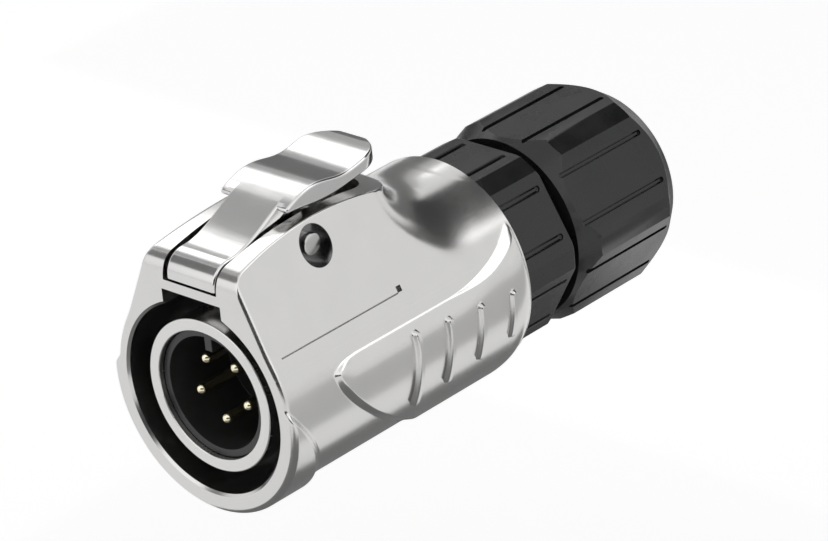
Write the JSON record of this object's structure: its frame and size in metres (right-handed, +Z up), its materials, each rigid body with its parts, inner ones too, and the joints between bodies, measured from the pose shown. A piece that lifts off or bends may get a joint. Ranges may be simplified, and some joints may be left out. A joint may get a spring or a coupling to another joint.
{
  "type": "circular connector plug",
  "caption": "Latched circular cable plug: satin metal shell with a rocking push latch on top, recessed male pins in a keyed barrel, ribbed black rear body and gland nut.",
  "frame": {"origin": "on the plug's axis, in the plane of the shell's front rim, the mating face", "axes": "+Y along the plug's axis towards the cable, +Z up through the latch, +X to the right seen from the front of the cable side"},
  "size_m": [0.0196, 0.0475, 0.0241],
  "materials": {
    "plated_shell": "satin plated",
    "plated_lever": "satin plated",
    "plated_barrel": "nickel plated",
    "pin_steel": "turned",
    "gold_contact": "gold plated",
    "black_plastic": "satin",
    "satin_black_plastic": "satin",
    "pale_plastic": "satin",
    "black_rubber": "matte"
  },
  "bodies": {
    "plug": {"shell": "plated_shell", "latch_pin": "pin_steel", "latch_spring": "pin_steel", "plug_barrel": "plated_barrel", "contact_insert": "black_plastic", "contact_1": "gold_contact", "contact_2": "gold_contact", "contact_3": "gold_contact", "contact_4": "gold_contact", "contact_5": "gold_contact", "mating_gasket": "black_rubber", "barrel_o_ring": "black_rubber", "retaining_ring": "plated_barrel", "rear_body": "satin_black_plastic", "rear_o_ring": "black_rubber", "clamp_collet": "pale_plastic", "cable_grommet": "black_rubber"},
    "latch": {"latch_lever": "plated_lever"},
    "nut_travel": {"slip_washer": "pale_plastic"},
    "nut": {"gland_nut": "satin_black_plastic"}
  },
  "joints": [
    {"name": "latch_hinge", "type": "hinge", "parent": "plug", "child": "latch", "pos_m": [0, 0.00873, 0.01054], "axis": [-1, 0, 0], "range_deg": [0, 6.5], "stiffness_Nm_per_rad": 0.05, "springref_deg": -11.46, "deforming": ["latch_spring"]},
    {"name": "nut_slide", "type": "slide", "parent": "plug", "child": "nut_travel", "axis": [0, 1, 0], "range_m": [0, 0.005]},
    {"name": "nut_turn", "type": "hinge", "parent": "nut_travel", "child": "nut", "pos_m": [0, 0.0413, 0], "axis": [0, 1, 0], "range_deg": [0, 1800]}
  ],
  "couplings": [
    {"joint": "nut_turn", "follows": "nut_slide", "rad_per_m": 6283.2}
  ]
}
